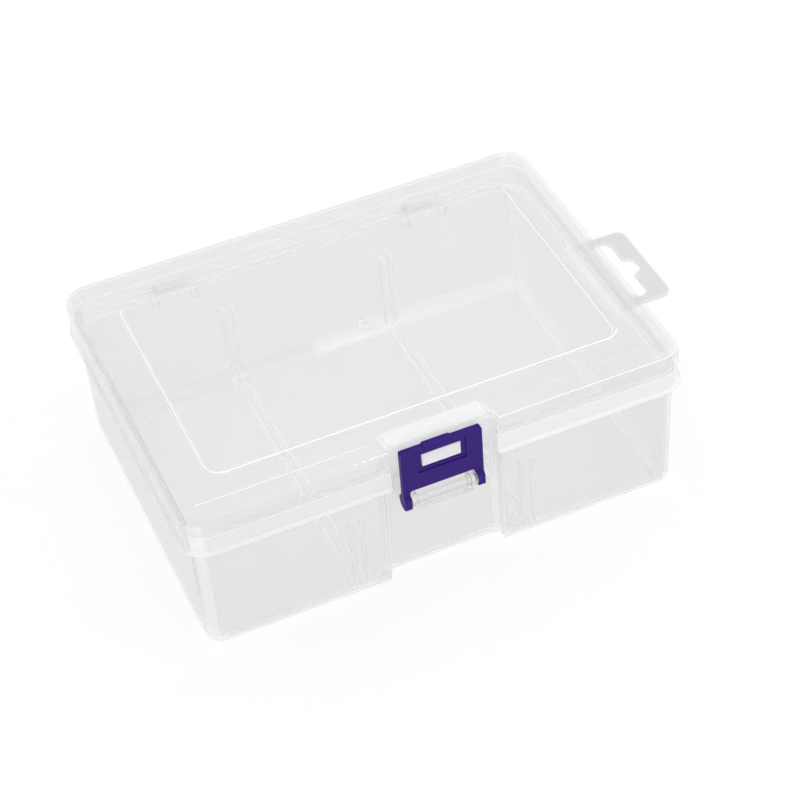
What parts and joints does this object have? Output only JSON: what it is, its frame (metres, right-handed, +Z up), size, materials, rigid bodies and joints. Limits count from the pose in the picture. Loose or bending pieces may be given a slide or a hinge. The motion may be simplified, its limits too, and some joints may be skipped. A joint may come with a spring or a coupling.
{
  "type": "plastic storage box",
  "caption": "Clear plastic storage box with a hinged lid, a coloured snap latch in a recess at the front, ribs for dividers and a hang tab at one end.",
  "frame": {"origin": "middle of the flat underside of the tray, midway between the outer edges of the lid's rim", "axes": "+X along the length towards the hang tab, -Y towards the latch, +Z up"},
  "size_m": [0.1818, 0.1253, 0.058],
  "materials": {
    "clear_tray": "clear polypropylene, slightly milky",
    "clear_lid": "clear polypropylene, slightly milky",
    "purple_latch": "satin opaque polypropylene"
  },
  "bodies": {
    "tray": {"tray": "clear_tray"},
    "lid": {"lid": "clear_lid"},
    "latch": {"latch": "purple_latch"}
  },
  "joints": [
    {"name": "lid_hinge", "type": "hinge", "parent": "tray", "child": "lid", "pos_m": [0, 0.0624, 0.043], "axis": [-1, 0, 0], "range_deg": [0, 118]},
    {"name": "latch_hinge", "type": "hinge", "parent": "tray", "child": "latch", "pos_m": [0, -0.056, 0.0336], "axis": [1, 0, 0], "range_deg": [0, 180]}
  ]
}
